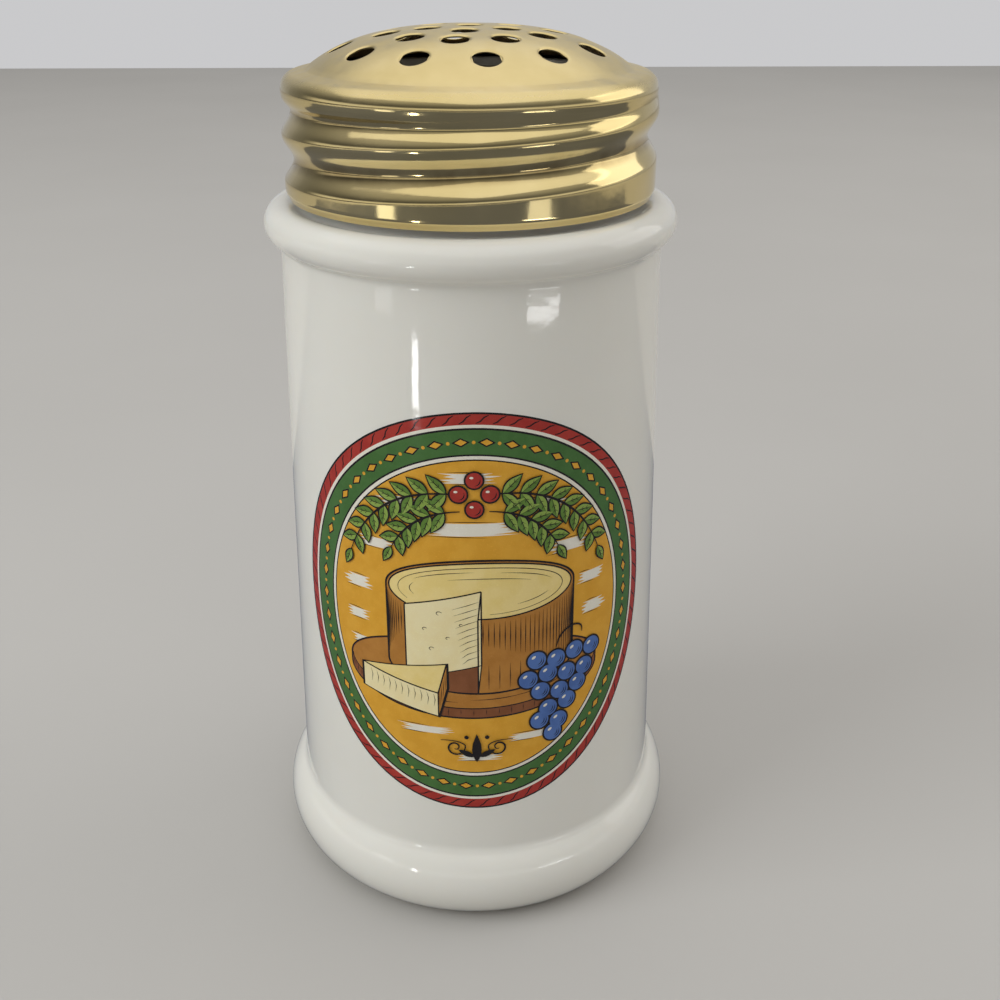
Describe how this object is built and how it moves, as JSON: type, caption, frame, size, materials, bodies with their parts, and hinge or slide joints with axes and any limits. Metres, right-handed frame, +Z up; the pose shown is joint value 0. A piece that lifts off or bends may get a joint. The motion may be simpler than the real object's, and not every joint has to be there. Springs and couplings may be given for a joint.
{
  "type": "cheese shaker",
  "caption": "Glazed ceramic shaker jar with a rounded foot and beaded collar, and a perforated gold-coloured screw cap over a sealing ring.",
  "frame": {"origin": "middle of the foot, on the surface that the shaker stands on", "axes": "+Z up along the jar's axis, -Y towards the front with the printed panel, +X to the right of someone facing the front"},
  "size_m": [0.0828, 0.0828, 0.1651],
  "materials": {
    "ceramic": "glossy warm white glaze",
    "fired_print": "glossy print fired onto the glaze",
    "seal": "soft matt off-white foam",
    "gold_cap": "gold-coloured lacquer over thin pressed sheet"
  },
  "bodies": {
    "jar": {"shaker_body": "ceramic", "front_panel": "fired_print"},
    "seal": {"seal_ring": "seal"},
    "cap": {"screw_cap": "gold_cap"}
  },
  "joints": [
    {"name": "cap_lift", "type": "slide", "parent": "jar", "child": "seal", "axis": [0, 0, 1], "range_m": [0, 0.02255]},
    {"name": "cap_turn", "type": "hinge", "parent": "seal", "child": "cap", "pos_m": [0, 0, 0], "axis": [0, 0, 1], "range_deg": [0, 990]}
  ],
  "couplings": [
    {"joint": "cap_lift", "follows": "cap_turn", "m_per_rad": 0.0013051}
  ]
}
